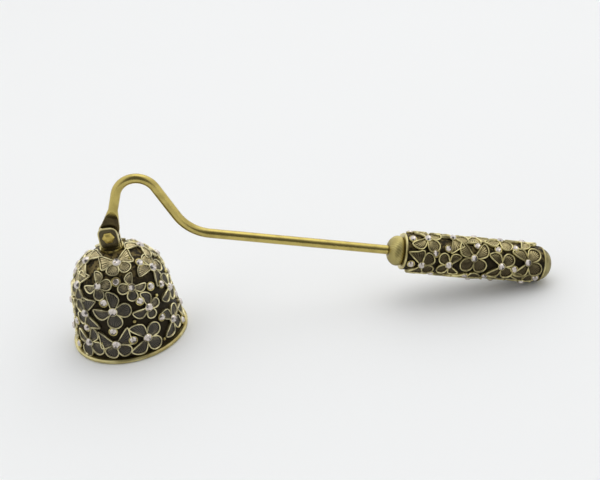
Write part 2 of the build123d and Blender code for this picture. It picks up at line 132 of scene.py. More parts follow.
class Cast:
    """Collects the vertices, faces and relief of one piece."""

    def __init__(self):
        self.points = []
        self.faces = []
        self.relief = []
        self.flat = []
        self.count = 0

    def add(self, points, faces, relief, flat=False):
        """Adds a mesh in millimetres, with a relief from 0, sunk, to 1, raised, at each point."""
        self.points.append(np.asarray(points, float))
        self.relief.append(np.asarray(relief, float))
        self.faces.extend([tuple(v + self.count for v in face) for face in faces])
        self.flat.extend([flat] * len(faces))
        self.count += len(points)

    def piece(self, name, body, slot, material, replaced):
        """Makes the object, which rides a body and stands for nodes of the frame."""
        mesh = bpy.data.meshes.new(name)
        mesh.from_pydata((np.vstack(self.points) * MM).tolist(), [], self.faces)
        layer = mesh.attributes.new("relief", "FLOAT", "POINT")
        layer.data.foreach_set("value", np.concatenate(self.relief).astype(np.float32))
        mesh.polygons.foreach_set("use_smooth", [not flat for flat in self.flat])
        mesh.materials.append(material)
        mesh.validate()
        mesh.update()
        piece = bpy.data.objects.new(name, mesh)
        bpy.context.scene.collection.objects.link(piece)
        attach(piece, body)
        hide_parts(*replaced)


def rings_to_faces(rings, count, cap=True):
    """Faces between rings of equal count, closed by a last single point."""
    faces = []
    for ring in range(rings - 1):
        first = ring * count
        for k in range(count):
            n = (k + 1) % count
            faces.append((first + k, first + n, first + count + n, first + count + k))
    if cap:
        first = (rings - 1) * count
        tip = rings * count
        faces += [(first + k, first + (k + 1) % count, tip) for k in range(count)]
    return faces


def unit_circle(count, start=0.0):
    """Flat points on a circle of radius 1."""
    turn = start + np.arange(count) * 2 * pi / count
    return np.column_stack((np.cos(turn), np.sin(turn)))


def level_ring(flat, height):
    """Flat points raised to one height."""
    return np.column_stack((flat, np.full(len(flat), height)))


CURVE_STEPS = 12


def smooth_loop(corners, count):
    """Closed smooth curve through corners, sampled evenly by length."""
    corners = np.array(corners, float)
    fine = []
    size = len(corners)
    for k in range(size):
        a, b, c, d = (corners[(k + j - 1) % size] for j in range(4))
        square = 2 * a - 5 * b + 4 * c - d
        cube = 3 * b - a - 3 * c + d
        for t in np.linspace(0, 1, CURVE_STEPS, endpoint=False):
            fine.append(0.5 * (2 * b + (c - a) * t + square * t**2 + cube * t**3))
    fine = np.array(fine + fine[:1])
    length = np.concatenate(([0], np.cumsum(np.linalg.norm(np.diff(fine, axis=0), axis=1))))
    places = np.linspace(0, length[-1], count, endpoint=False)
    return np.column_stack([np.interp(places, length, fine[:, j]) for j in range(2)])


# Wing outlines as shares of the wing's length: x from root to tip, y towards the head
POINTED_FORE = (
    (0.02, 0.04), (0.30, 0.17), (0.62, 0.30), (0.90, 0.38), (0.99, 0.34), (0.92, 0.14),
    (0.80, -0.12), (0.74, -0.36), (0.62, -0.47), (0.40, -0.37), (0.16, -0.15), (0.02, -0.05),
)
POINTED_HIND = (
    (0.02, 0.06), (0.26, 0.28), (0.55, 0.42), (0.84, 0.40), (1.00, 0.16), (0.97, -0.16),
    (0.80, -0.40), (0.50, -0.42), (0.22, -0.26), (0.02, -0.06),
)
ROUND_FORE = (
    (0.02, 0.04), (0.28, 0.15), (0.58, 0.25), (0.86, 0.31), (0.99, 0.26), (0.98, 0.06),
    (0.86, -0.18), (0.64, -0.33), (0.38, -0.28), (0.15, -0.13), (0.02, -0.05),
)
ROUND_HIND = (
    (0.02, 0.06), (0.24, 0.27), (0.52, 0.42), (0.82, 0.38), (1.00, 0.12), (0.98, -0.16),
    (0.78, -0.38), (0.48, -0.40), (0.22, -0.25), (0.02, -0.07),
)
# Fore and hind wings of each style, with their angles from the head in degrees
STYLES = {
    "pointed": ((POINTED_FORE, 64.0), (POINTED_HIND, 139.0)),
    "round": ((ROUND_FORE, 52.0), (ROUND_HIND, 136.0)),
}

# Border wire of a wing, in millimetres: its width, the slope inside it and its edge's depth
OUTLINE_POINTS = 48
WIRE_WIDTH = 0.46
WIRE_SLOPE = 0.08
EDGE_DEPTH = 0.12
EDGE_RELIEF = 0.5
# Section of the wire from its outer edge inwards: inset, share of its height, relief
WIRE_SECTION = (
    (0.02, 0.68, 0.85), (0.12, 0.92, 1.0), (0.26, 1.0, 1.0), (0.42, 0.9, 1.0), (WIRE_WIDTH, 0.7, 0.7),
)
# The wire narrows near the wing's root: shares of the wing's length, and its least share of width
ROOT = 0.04
ROOT_SPAN = 0.26
ROOT_WIRE = 0.12
# Cell inside the wire: its level, the height of its veins, and its heart along the wing
CELL_LEVEL = 0.40
VEIN_HEIGHT = 0.18
VEIN_RELIEF = 0.5
HEART = 0.24
HEART_RELIEF = 0.4
# Every third point around the cell lies in the gap between two veins
VEIN_PITCH = 3
# Rings of the cell: share of the way from its heart to the wire, relief in the gaps
CELL_RINGS = ((0.9, 0.2), (0.64, 0.0), (0.36, 0.0))


def wing(outline, length, top):
    """Wing along +x: a wire border around a sunk cell with veins that fan out from its heart."""
    edge = smooth_loop(outline, OUTLINE_POINTS) * length
    ahead = np.roll(edge, -1, 0) - np.roll(edge, 1, 0)
    inward = np.column_stack((-ahead[:, 1], ahead[:, 0]))
    inward /= np.linalg.norm(inward, axis=1)[:, None]
    area = np.sum(edge[:, 0] * np.roll(edge[:, 1], -1) - np.roll(edge[:, 0], -1) * edge[:, 1])
    inward *= np.sign(area)
    room = np.clip((edge[:, 0] / length - ROOT) / ROOT_SPAN, ROOT_WIRE, 1.0)[:, None]
    border = [(0.0, -EDGE_DEPTH, EDGE_RELIEF)]
    border += [(inset, top * share, shade) for inset, share, shade in WIRE_SECTION]
    border.append((WIRE_WIDTH + WIRE_SLOPE, CELL_LEVEL, 0.0))
    points = []
    relief = []
    for inset, height, shade in border:
        points.append(level_ring(edge + inward * inset * room, height))
        relief.append(np.full(OUTLINE_POINTS, shade))
    inner = edge + inward * (WIRE_WIDTH + WIRE_SLOPE) * room
    heart = np.array((HEART * length, 0.0))
    veins = (np.arange(OUTLINE_POINTS) % VEIN_PITCH > 0).astype(float)
    for share, gap in CELL_RINGS:
        ring = heart + (inner - heart) * share
        points.append(np.column_stack((ring, CELL_LEVEL + VEIN_HEIGHT * veins)))
        relief.append(gap + (VEIN_RELIEF - gap) * veins)
    points.append(level_ring(heart[None], CELL_LEVEL + VEIN_HEIGHT))
    relief.append(np.array([HEART_RELIEF]))
    faces = rings_to_faces(len(points) - 1, OUTLINE_POINTS)
    return np.vstack(points), faces, np.concatenate(relief)


# Section of a cup from its foot over its lip: shares of its radius and height, relief
CUP_SIDES = 20
CUP_SECTION = (
    (1.02, -0.1, 0.3), (1.0, 0.5, 0.6), (1.0, 0.86, 0.95),
    (0.93, 1.0, 1.0), (0.82, 0.98, 1.0), (0.76, 0.8, 0.4),
)
CUP_FLOOR = 0.7
CUP_FLOOR_RELIEF = 0.2


def cup(cast, lay, radius, height):
    """Round setting with a rolled lip around its stone."""
    circle = unit_circle(CUP_SIDES)
    points = []
    relief = []
    for share, level, shade in CUP_SECTION:
        points.append(level_ring(circle * radius * share, height * level))
        relief.append(np.full(CUP_SIDES, shade))
    points.append(np.array([(0, 0, height * CUP_FLOOR)]))
    relief.append(np.array([CUP_FLOOR_RELIEF]))
    faces = rings_to_faces(len(CUP_SECTION), CUP_SIDES)
    cast.add(lay(np.vstack(points)), faces, np.concatenate(relief))


def turned(points, degrees_ccw):
    """Points turned about the outward direction."""
    turn = radians(degrees_ccw)
    spin = np.array(((cos(turn), sin(turn), 0), (-sin(turn), cos(turn), 0), (0, 0, 1)))
    return points @ spin


BOSS_HEIGHT = 1.02


def butterfly(cast, lay, spin, lengths, style, top, boss):
    """Four wings and the cup of the middle stone, laid on a surface."""
    for (outline, angle), length in zip(STYLES[style], lengths):
        for side in (1, -1):
            points, faces, relief = wing(outline, length, top)
            points[:, 1] *= -side
            if side > 0:
                faces = [face[::-1] for face in faces]
            points = turned(points, 90 + spin + side * angle)
            cast.add(lay(points), faces, relief)
    cup(cast, lay, boss, BOSS_HEIGHT)


# Cut of a stone: points around its girdle, and shares of its radius and height
FACETS = 16
GIRDLE = 0.98
GIRDLE_LEVEL = 0.3
TABLE = 0.62
STAR_DEPTH = 0.16


def stone(cast, lay, radius, base, top, spin):
    """Faceted stone: a girdle, a crown of facets and a sunk star that shows the foiled back."""
    circle = unit_circle(FACETS, radians(spin))
    points = np.vstack((
        level_ring(circle * radius, base),
        level_ring(circle * radius * GIRDLE, base + (top - base) * GIRDLE_LEVEL),
        level_ring(circle[::2] * radius * TABLE, top),
        [(0, 0, top - radius * STAR_DEPTH)],
    ))
    corners = FACETS // 2
    star = 2 * FACETS + corners
    faces = [(k, (k + 1) % FACETS, FACETS + (k + 1) % FACETS, FACETS + k) for k in range(FACETS)]
    for k in range(corners):
        edge = FACETS + 2 * k
        table = 2 * FACETS + k
        after = 2 * FACETS + (k + 1) % corners
        faces.append((edge, edge + 1, table))
        faces.append((edge + 1, after, table))
        faces.append((edge + 1, FACETS + (2 * k + 2) % FACETS, after))
        faces.append((table, after, star))
    cast.add(lay(points), faces, np.ones(len(points)), flat=True)


# Grain: its rings by their tilt from its equator, and the height of its middle as a share of radius
GRAIN_SIDES = 14
GRAIN_TILTS = (-0.4, 0.0, 0.4, 0.8, 1.2)
GRAIN_SEAT = 0.35
GRAIN_RELIEF = 0.9


def bead(cast, lay, radius):
    """Small cast grain."""
    circle = unit_circle(GRAIN_SIDES)
    points = []
    for tilt in GRAIN_TILTS:
        points.append(level_ring(circle * radius * cos(tilt), radius * (GRAIN_SEAT + sin(tilt))))
    points.append(np.array([(0, 0, radius * (GRAIN_SEAT + 1))]))
    points = np.vstack(points)
    faces = rings_to_faces(len(GRAIN_TILTS), GRAIN_SIDES)
    cast.add(lay(points), faces, np.full(len(points), GRAIN_RELIEF))


# Helpers for the nodes of materials


def feed(tree, socket, value):
    """Links a socket to another node's output, or sets it to a plain value."""
    if isinstance(value, bpy.types.NodeSocket):
        tree.links.new(value, socket)
    else:
        socket.default_value = value


# Inputs and output of a mix node that belong to each kind of value
MIX_SOCKETS = {"RGBA": (6, 7, 2), "FLOAT": (2, 3, 0)}


def mix_node(tree, kind, factor, first, second):
    """Blend of two numbers or two colours."""
    node = tree.nodes.new("ShaderNodeMix")
    node.data_type = kind
    first_socket, second_socket, result = MIX_SOCKETS[kind]
    feed(tree, node.inputs[0], factor)
    feed(tree, node.inputs[first_socket], first)
    feed(tree, node.inputs[second_socket], second)
    return node.outputs[result]


def math_node(tree, operation, first, second=0.0):
    """One step of arithmetic."""
    node = tree.nodes.new("ShaderNodeMath")
    node.operation = operation
    feed(tree, node.inputs[0], first)
    feed(tree, node.inputs[1], second)
    return node.outputs[0]


def range_node(tree, value, low, high, to_low=0.0, to_high=1.0):
    """Smooth step from to_low to to_high while the value goes from low to high."""
    node = tree.nodes.new("ShaderNodeMapRange")
    node.interpolation_type = "SMOOTHSTEP"
    tree.links.new(value, node.inputs[0])
    for socket, number in enumerate((low, high, to_low, to_high), start=1):
        node.inputs[socket].default_value = number
    return node.outputs[0]


def noise_node(tree, coordinates, scale, detail, stretch=(1, 1, 1)):
    """Cloudy pattern around 0.5, finer with a larger scale."""
    place = tree.nodes.new("ShaderNodeMapping")
    place.inputs["Scale"].default_value = stretch
    tree.links.new(coordinates, place.inputs["Vector"])
    node = tree.nodes.new("ShaderNodeTexNoise")
    node.inputs["Scale"].default_value = scale
    node.inputs["Detail"].default_value = detail
    tree.links.new(place.outputs[0], node.inputs["Vector"])
    return node.outputs["Fac"]


def new_material(name):
    """Material with its node tree, its shader and the object's own coordinates."""
    material = bpy.data.materials.new(name)
    material.use_nodes = True
    tree = material.node_tree
    shader = tree.nodes["Principled BSDF"]
    coordinates = tree.nodes.new("ShaderNodeTexCoord").outputs["Object"]
    return material, tree, shader, coordinates


def metal(tree, shader, colour, roughness, metallic=1.0):
    """Gives a shader the colour and roughness of a metal."""
    tree.links.new(colour, shader.inputs["Base Color"])
    shader.inputs["Metallic"].default_value = metallic
    feed(tree, shader.inputs["Roughness"], roughness)


def bump(tree, shader, height, distance, strength):
    """Fine unevenness of a surface."""
    node = tree.nodes.new("ShaderNodeBump")
    node.inputs["Distance"].default_value = distance
    node.inputs["Strength"].default_value = strength
    tree.links.new(height, node.inputs["Height"])
    tree.links.new(node.outputs[0], shader.inputs["Normal"])


def normal_part(tree, axis):
    """Part of a face's normal along an axis of the object's own frame."""
    parts = tree.nodes.new("ShaderNodeSeparateXYZ")
    tree.links.new(tree.nodes.new("ShaderNodeTexCoord").outputs["Normal"], parts.inputs[0])
    return parts.outputs[axis]


def upward_share(tree):
    """How far a face looks up in the object's own frame, from 0 to 1."""
    return range_node(tree, normal_part(tree, "Z"), 0.35, 0.85)


# Places at the hinge, in metres: the flat of the rod's lug, and the ears of the yoke, whose flat sides
# get a painted shade
pin_low, pin_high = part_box("hinge_pin")
PIN_CENTRE = tuple((pin_low + pin_high) / 2)
LUG_FLAT = 7.8 * MM
ROD_ROUND = 9.6 * MM
EAR_HALF_WIDTH = 3.3 * MM
EAR_HALF_HEIGHT = 4.0 * MM
EAR_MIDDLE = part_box("bell_yoke")[1][2] - 4.1 * MM
EAR_CORNER = 4.0


def lug_share(tree, coordinates):
    """Mask for the painted shade: 1 at the flattened end of the rod, 0 where it is round again."""
    away = tree.nodes.new("ShaderNodeVectorMath")
    away.operation = "DISTANCE"
    away.inputs[1].default_value = PIN_CENTRE
    tree.links.new(coordinates, away.inputs[0])
    return range_node(tree, away.outputs["Value"], LUG_FLAT, ROD_ROUND, 1.0, 0.0)


def ear_share(tree, coordinates):
    """Mask for the painted shade: 1 in the middle of the yoke's ears, 0 along their rounded edges."""
    place = tree.nodes.new("ShaderNodeSeparateXYZ")
    tree.links.new(coordinates, place.inputs[0])
    terms = []
    for axis, centre, half in (("X", 0.0, EAR_HALF_WIDTH), ("Z", EAR_MIDDLE, EAR_HALF_HEIGHT)):
        offset = math_node(tree, "SUBTRACT", place.outputs[axis], centre)
        ratio = math_node(tree, "DIVIDE", math_node(tree, "ABSOLUTE", offset), half)
        terms.append(math_node(tree, "POWER", ratio, EAR_CORNER))
    return range_node(tree, math_node(tree, "ADD", *terms), 0.50, 0.80, 1.0, 0.0)


WORN_BRASS = (0.30, 0.235, 0.07, 1)


def hinge_brass(name, light, dark, share):
    """Brass whose flat sides at the hinge get a painted shade, picked by the way they face, while its
    edges stay light brass with some wear.
    """
    material, tree, shader, coordinates = new_material(name)
    cloud = noise_node(tree, coordinates, scale=260, detail=5)
    grain = noise_node(tree, coordinates, scale=1500, detail=3)
    sideways = math_node(tree, "ABSOLUTE", normal_part(tree, "Y"))
    # Painted shade: faces turned to either side along y, inside the lug or the ears, are darkened
    flat = math_node(tree, "MULTIPLY", range_node(tree, sideways, 0.9, 0.95), share(tree, coordinates))
    darker_share = math_node(tree, "MULTIPLY", flat, range_node(tree, cloud, 0.2, 0.75, 1.0, 0.8))
    wear = range_node(tree, cloud, 0.42, 0.72, 0.0, 0.5)
    worn = mix_node(tree, "RGBA", wear, light, WORN_BRASS)
    colour = mix_node(tree, "RGBA", darker_share, worn, dark)
    metal(tree, shader, colour, mix_node(tree, "FLOAT", cloud, 0.19, 0.30))
    bump(tree, shader, grain, distance=0.00005, strength=0.25)
    return material


def aged_brass(name, light, dark, smooth, rough, stretch=(1, 1, 1)):
    """Satin brass with cloudy tarnish and a fine grain, which stretch can draw out to scratches."""
    material, tree, shader, coordinates = new_material(name)
    cloud = noise_node(tree, coordinates, scale=160, detail=5)
    fine = noise_node(tree, coordinates, scale=1400, detail=3)
    lines = noise_node(tree, coordinates, scale=900, detail=2, stretch=stretch)
    tarnish = range_node(tree, cloud, 0.38, 0.68)
    clouded = mix_node(tree, "RGBA", tarnish, light, dark)
    specks = range_node(tree, fine, 0.6, 0.78, 0.0, 0.45)
    colour = mix_node(tree, "RGBA", specks, clouded, dark)
    metal(tree, shader, colour, mix_node(tree, "FLOAT", cloud, smooth, rough))
    bump(tree, shader, lines, distance=0.00006, strength=0.35)
    return material


def relief_brass(name, bright, tarnish, vein, deep, top_lit_vein, top_lit_deep):
    """Cast brass: raised wires rubbed bright, cells darker, with painted light on the faces that look
    up, which turns their veins golden.
    """
    material, tree, shader, coordinates = new_material(name)
    node = tree.nodes.new("ShaderNodeAttribute")
    node.attribute_name = "relief"
    cloud = noise_node(tree, coordinates, scale=240, detail=5)
    fine = noise_node(tree, coordinates, scale=2200, detail=3)
    shake = math_node(tree, "MULTIPLY", math_node(tree, "SUBTRACT", fine, 0.5), 0.45)
    level = math_node(tree, "ADD", node.outputs["Fac"], shake)
    # Painted light: faces that look up get their own vein and gap tones, with brighter veins, as if lit
    # from above
    upward = upward_share(tree)
    gap_tone = mix_node(tree, "RGBA", upward, deep, top_lit_deep)
    vein_tone = mix_node(tree, "RGBA", upward, vein, top_lit_vein)
    cell_tone = mix_node(tree, "RGBA", range_node(tree, level, 0.12, 0.46), gap_tone, vein_tone)
    darker_share = range_node(tree, cloud, 0.42, 0.62, 0.0, 0.75)
    wire_tone = mix_node(tree, "RGBA", darker_share, bright, tarnish)
    colour = mix_node(tree, "RGBA", range_node(tree, level, 0.55, 0.85), cell_tone, wire_tone)
    metal(tree, shader, colour, range_node(tree, level, 0.1, 0.9, 0.42, 0.32))
    bump(tree, shader, fine, distance=0.00005, strength=0.3)
    return material


def patina(name, tone, worn):
    """Dark ground between the ornaments, with a few rubbed spots and a painted lighter brown on faces
    that look up.
    """
    material, tree, shader, coordinates = new_material(name)
    cloud = noise_node(tree, coordinates, scale=260, detail=6)
    grain = noise_node(tree, coordinates, scale=1500, detail=4)
    speckle = range_node(tree, noise_node(tree, coordinates, scale=800, detail=3), 0.42, 0.62)
    # Painted light: faces that look up turn a speckled lighter brown, as if lit from above; the cloud
    # adds real rubbed spots
    painted_top_light = math_node(tree, "MULTIPLY", upward_share(tree), speckle)
    rubbed_and_top_lit = math_node(tree, "MAXIMUM", range_node(tree, cloud, 0.58, 0.8, 0.0, 0.3), painted_top_light)
    colour = mix_node(tree, "RGBA", rubbed_and_top_lit, tone, worn)
    metal(tree, shader, colour, mix_node(tree, "FLOAT", grain, 0.42, 0.7), metallic=0.85)
    bump(tree, shader, grain, distance=0.0001, strength=0.6)
    return material


def foiled_stone(name):
    """Clear stone over a silver foil: mirror facets with a faint warm and cool play."""
    material, tree, shader, coordinates = new_material(name)
    cloud = noise_node(tree, coordinates, scale=500, detail=1)
    colour = mix_node(tree, "RGBA", cloud, (0.64, 0.55, 0.49, 1), (0.50, 0.49, 0.47, 1))
    metal(tree, shader, colour, 0.1)
    return material


# The darker colour given to each hinge brass is the painted shade of its flat sides
brass_rod = hinge_brass("rod_brass", (0.52, 0.42, 0.13, 1), (0.026, 0.018, 0.014, 1), lug_share)
brass_yoke = hinge_brass("yoke_brass", (0.62, 0.54, 0.27, 1), (0.034, 0.025, 0.017, 1), ear_share)
brass_rim = aged_brass(
    "rim_brass", (0.62, 0.55, 0.27, 1), (0.40, 0.33, 0.13, 1), 0.28, 0.42, stretch=(1, 1, 8)
)
brass_pin = aged_brass("pin_brass", (0.70, 0.56, 0.17, 1), (0.48, 0.36, 0.10, 1), 0.36, 0.5)
brass_plain = aged_brass("plain_brass", (0.50, 0.40, 0.16, 1), (0.32, 0.24, 0.08, 1), 0.3, 0.45)
brass_cap = aged_brass("cap_brass", (0.38, 0.33, 0.15, 1), (0.17, 0.145, 0.065, 1), 0.36, 0.5)
# In each relief brass the last two colours are painted light: the vein and gap tones of faces that look
# up
brass_wing = relief_brass(
    "wing_brass",
    bright=(0.80, 0.73, 0.43, 1),
    tarnish=(0.16, 0.14, 0.085, 1),
    vein=(0.10, 0.09, 0.07, 1),
    deep=(0.034, 0.033, 0.034, 1),
    top_lit_vein=(0.66, 0.56, 0.31, 1),
    top_lit_deep=(0.025, 0.019, 0.009, 1),
)
brass_handle_wing = relief_brass(
    "handle_wing_brass",
    bright=(0.74, 0.66, 0.33, 1),
    tarnish=(0.19, 0.16, 0.075, 1),
    vein=(0.115, 0.092, 0.05, 1),
    deep=(0.030, 0.023, 0.012, 1),
    top_lit_vein=(0.50, 0.42, 0.21, 1),
    top_lit_deep=(0.025, 0.018, 0.008, 1),
)
brass_cup = relief_brass(
    "cup_brass",
    bright=(0.60, 0.52, 0.21, 1),
    tarnish=(0.24, 0.19, 0.08, 1),
    vein=(0.24, 0.19, 0.08, 1),
    deep=(0.05, 0.04, 0.03, 1),
    top_lit_vein=(0.34, 0.28, 0.12, 1),
    top_lit_deep=(0.08, 0.06, 0.03, 1),
)
brass_ball = relief_brass(
    "ball_brass",
    bright=(0.60, 0.52, 0.21, 1),
    tarnish=(0.30, 0.24, 0.09, 1),
    vein=(0.34, 0.28, 0.10, 1),
    deep=(0.13, 0.10, 0.035, 1),
    top_lit_vein=(0.44, 0.37, 0.14, 1),
    top_lit_deep=(0.20, 0.16, 0.06, 1),
)
ground = patina("dark_ground", (0.020, 0.015, 0.007, 1), (0.16, 0.12, 0.045, 1))
foil = foiled_stone("clear_stone")


def dress(material, *names):
    """Gives nodes of the frame a material."""
    for name in names:
        nodes[name].data.materials.clear()
        nodes[name].data.materials.append(material)


dress(brass_rod, "rod")
dress(brass_yoke, "bell_yoke")
dress(brass_cap, "handle_end_cap")
dress(brass_rim, "bell_rim", "handle_front_ring", "handle_rear_ring")
dress(ground, "bell_shell", "handle_sleeve")
dress(brass_plain, "yoke_washer", "yoke_nut", "handle_front_bush", "handle_rear_bush")
worn_edges = nodes["bell_yoke"].modifiers.new("worn_edges", "BEVEL")
worn_edges.width = 0.35 * MM
worn_edges.segments = 2
worn_edges.limit_method = "ANGLE"
worn_edges.angle_limit = radians(40)

# Hinge rivet with hammered six-sided heads, in millimetres; steps are shares of the corners' radius
# and heights
HEAD_CORNERS = (2.12, 2.16, 2.10, 2.12, 2.14, 2.06)
HEAD_SIDES = len(HEAD_CORNERS)
HEAD_HEIGHT = 0.9
HEAD_STEPS = ((1.0, 0.0), (0.98, 0.22), (0.82, 0.62), (0.45, 0.9))
SHANK = 1.2


def on_ear(side):
    """Function that lays flat points (right, up, height) on an ear of the yoke.

    The side is -1 for the front ear and 1 for the back one.
    """
    half = (pin_high[1] - pin_low[1]) / 2 / MM - HEAD_HEIGHT
    centre = np.array(PIN_CENTRE) / MM

    def lay(points):
        across = -side * points[:, 0]
        return centre + np.column_stack((across, side * (half + points[:, 2]), points[:, 1]))

    return lay


def rivet_head(cast, lay):
    """Head whose six sides step in to a small flat face, with a stub of the shank behind it."""
    circle = unit_circle(HEAD_SIDES)
    corners = circle * np.array(HEAD_CORNERS)[:, None]
    points = [level_ring(circle * SHANK, -HEAD_HEIGHT), level_ring(circle * SHANK, 0.0)]
    for share, height in HEAD_STEPS:
        points.append(level_ring(corners * share, height))
    faces = rings_to_faces(len(points), HEAD_SIDES)
    points.append(np.array([(0.0, 0.0, HEAD_HEIGHT)]))
    points = np.vstack(points)
    cast.add(lay(points), faces, np.ones(len(points)), flat=True)


rivet = Cast()
rivet_head(rivet, on_ear(-1))
rivet_head(rivet, on_ear(1))
rivet.piece("hinge_rivet", "bell", "bright_brass", brass_pin, ["hinge_pin"])

# Butterflies on the bell: azimuth, distance from the crown, spin, lengths of fore and hind wings, style
bell_rows = {
    "crown": [
        (-75, 8.5, 3, 7.0, 5.0, "pointed"), (-158, 9.4, -80, 6.4, 5.0, "pointed"),
        (106, 9.3, 12, 6.4, 5.0, "pointed"), (16, 9.3, 70, 6.6, 5.2, "round"),
    ],
    "shoulder": [
        (-109, 15.8, 56, 5.2, 4.8, "round"), (-65, 17.8, -55, 5.0, 4.6, "round"),
        (-22, 15.7, 118, 6.8, 5.4, "round"), (25, 16.8, -10, 6.0, 5.0, "round"),
        (70, 16.8, 58, 6.0, 5.0, "pointed"), (115, 16.8, -38, 6.0, 5.0, "round"),
        (160, 16.8, 80, 6.0, 5.0, "pointed"), (-145, 17.2, -85, 6.2, 5.2, "pointed"),
    ],
    "middle": [
        (-129, 25.7, -86, 6.9, 5.4, "pointed"), (-93, 24.4, 46, 7.0, 6.2, "round"),
        (-52, 26.3, 52, 6.0, 4.4, "round"), (-11, 25.6, 62, 6.4, 5.4, "round"),
        (28, 25.8, 44, 6.4, 5.4, "pointed"), (68, 25.8, 56, 6.2, 5.2, "round"),
        (108, 25.8, -83, 6.4, 5.4, "pointed"), (148, 25.8, 30, 6.4, 5.4, "round"),
        (-170, 25.8, 56, 6.2, 5.2, "pointed"),
    ],
    "mouth": [
        (-128, 36.5, 20, 6.4, 6.2, "round"), (-96, 36.4, 6, 7.2, 5.6, "pointed"),
        (-63, 36.4, 82, 7.2, 6.0, "round"), (-26, 35.7, 88, 6.6, 5.6, "round"),
        (10, 36.2, 35, 6.4, 5.4, "pointed"), (46, 36.2, 7, 6.8, 5.6, "round"),
        (82, 36.2, 98, 6.4, 5.4, "pointed"), (118, 36.2, 88, 6.4, 5.4, "round"),
        (154, 36.2, 35, 6.6, 5.4, "pointed"), (-170, 36.2, 7, 6.4, 5.4, "round"),
    ],
}
# Height of the wings' wire, radius of the bosses, which is less on small butterflies, and their stones
BELL_WIRE = 0.95
LARGE_BOSS = 1.5
SMALL_BOSS = 1.3
LARGE_WING = 5.4
STONE_SHARE = 0.9
bell_stones = Cast()
for name, row in bell_rows.items():
    wings = Cast()
    for azimuth, arc, spin, fore, hind, style in row:
        lay = on_bell(azimuth, arc)
        boss = LARGE_BOSS if fore > LARGE_WING else SMALL_BOSS
        butterfly(wings, lay, spin, (fore, hind), style, BELL_WIRE, boss)
        stone(bell_stones, lay, boss * STONE_SHARE, base=0.74, top=1.66, spin=azimuth)
    replaced = [f"bell_{name}_butterflies"]
    wings.piece(f"{name}_butterflies_cast", "bell", "butterfly_brass", brass_wing, replaced)
bell_stones.piece("bell_stones_cut", "bell", "clear_stone", foil, ["bell_butterfly_stones"])


def set_small_stones(body, surface, places, cup_size, stone_size, spins):
    """Cups with small stones between the butterflies, as two pieces of a body."""
    cups = Cast()
    accents = Cast()
    for turn, along in places:
        lay = surface(turn, along)
        cup(cups, lay, *cup_size)
        stone(accents, lay, *stone_size, turn * spins)
    cups.piece(f"{body}_cups_cast", body, "antique_brass", brass_cup, [f"{body}_stone_cups"])
    accents.piece(f"{body}_accents_cut", body, "clear_stone", foil, [f"{body}_accent_stones"])


# Stones in cups and grains between the butterflies of the bell: azimuth and distance from the crown
bell_cups = [
    (-83, 14.8), (-34, 11.8), (-41, 20.2), (-60, 23.0), (-102, 21.1), (-97, 31.6), (-78, 35.7),
    (-40, 32.2), (-7, 40.4), (-24, 22.0), (-150, 31.0), (-172, 15.0), (4, 31.4), (48, 31.0),
    (92, 31.0), (130, 31.2), (170, 31.4), (48, 21.6), (92, 21.4), (136, 21.4), (178, 21.4),
    (60, 11.6), (150, 12.4), (-130, 31.2), (28, 40.2), (64, 40.2), (100, 40.2), (136, 40.2),
    (172, 40.2), (-151, 40.2),
]
bell_grains = [
    (-44, 8.6), (-113, 10.2), (-72, 29.4), (-37, 24.2), (-113, 36.2), (-45, 40.0), (40, 8.6),
    (64, 30.4), (112, 30.6), (150, 30.4), (-152, 20.8), (2, 21.4), (70, 21.4), (114, 21.6),
    (156, 21.4), (136, 8.4),
]
GRAIN_RADIUS = 0.62
# Sizes are a cup's radius and height, and a stone's radius, base and top
set_small_stones("bell", on_bell, bell_cups, (1.5, 0.76), (1.2, 0.5, 1.24), spins=2)
grains = Cast()
for azimuth, arc in bell_grains:
    bead(grains, on_bell(azimuth, arc), GRAIN_RADIUS)
grains.piece("bell_grains_cast", "bell", "antique_brass", brass_cup, ["bell_beads"])

# Ball where the rod enters the handle, with fine slanting flutes, drawn in before the ring
BALL_LENGTH = 4.8
BALL_MIDDLE = 3.2
BALL_HALF_LENGTH = 3.75
BALL_RADIUS = 5.25
BALL_ROD = 1.5
BALL_AROUND = 272
BALL_STEPS = 16
FLUTES = 34
FLUTE_DEPTH = 0.2
FLUTE_TWIST = -0.7
FLUTE_RELIEF = 0.25
# Share of the ball's length after which it is dark, in the groove before the ring
DARK_GROOVE = 0.93


def fluted_ball(cast):
    """Rings of points along the ball, drawn in by the flutes."""
    turn = np.arange(BALL_AROUND) * 2 * pi / BALL_AROUND
    out = around_handle(turn)
    nose = SLEEVE_START - AXIS * (RING_WIDTH + BALL_LENGTH)
    points = [nose + out * BALL_ROD]
    relief = [np.zeros(BALL_AROUND)]
    for along in np.linspace(0, BALL_LENGTH, BALL_STEPS):
        radius = BALL_RADIUS * sqrt(1 - ((along - BALL_MIDDLE) / BALL_HALF_LENGTH) ** 2)
        wave = 0.5 + 0.5 * np.cos(FLUTES * (turn + FLUTE_TWIST * along / BALL_LENGTH))
        points.append(nose + AXIS * along + out * (radius - FLUTE_DEPTH * (1 - wave))[:, None])
        shine = 0.0 if along > BALL_LENGTH * DARK_GROOVE else 1.0
        relief.append(shine * (FLUTE_RELIEF + (1 - FLUTE_RELIEF) * wave))
    faces = rings_to_faces(len(points), BALL_AROUND, cap=False)
    cast.add(np.vstack(points), faces, np.concatenate(relief))


ball = Cast()
fluted_ball(ball)
ball.piece("ferrule_ball", "handle", "antique_brass", brass_ball, ["handle_ferrule"])

